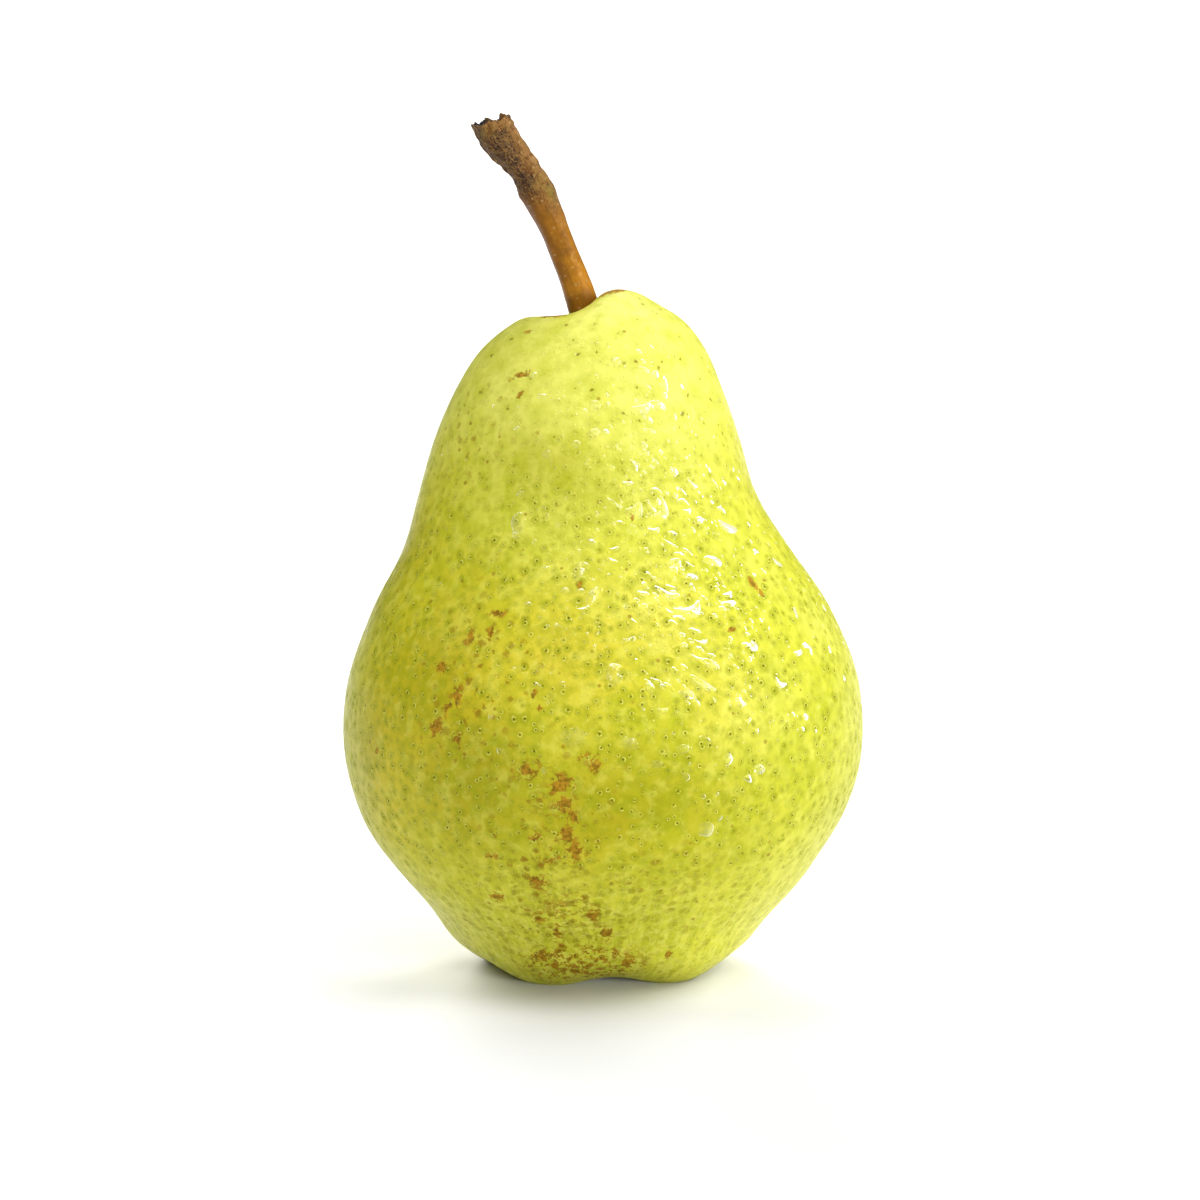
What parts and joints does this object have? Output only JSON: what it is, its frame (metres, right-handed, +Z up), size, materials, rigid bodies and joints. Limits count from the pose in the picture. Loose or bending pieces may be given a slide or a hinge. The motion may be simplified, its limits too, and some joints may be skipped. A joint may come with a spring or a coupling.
{
  "type": "pear",
  "caption": "Whole fresh pear with a leaning woody stem, a fleshy lip beside it and a dried calyx underneath, standing on its lobed calyx end.",
  "frame": {"origin": "on the surface the pear stands on, under the middle of the fruit", "axes": "+Z up from the calyx end to the stem, -Y the front, +X the side where the fleshy lip rises beside the stem; the stem leans to -X"},
  "size_m": [0.07, 0.0699, 0.115],
  "materials": {
    "skin": "waxy pear skin, satin to glossy, with small brown lenticels and russet flecks",
    "stem_wood": "smooth golden-brown bark, turning rough grey-brown towards the broken end",
    "dried_calyx": "dry, dark and matte"
  },
  "bodies": {
    "root": {"fruit": "skin", "stem": "stem_wood", "calyx": "dried_calyx"}
  },
  "joints": []
}
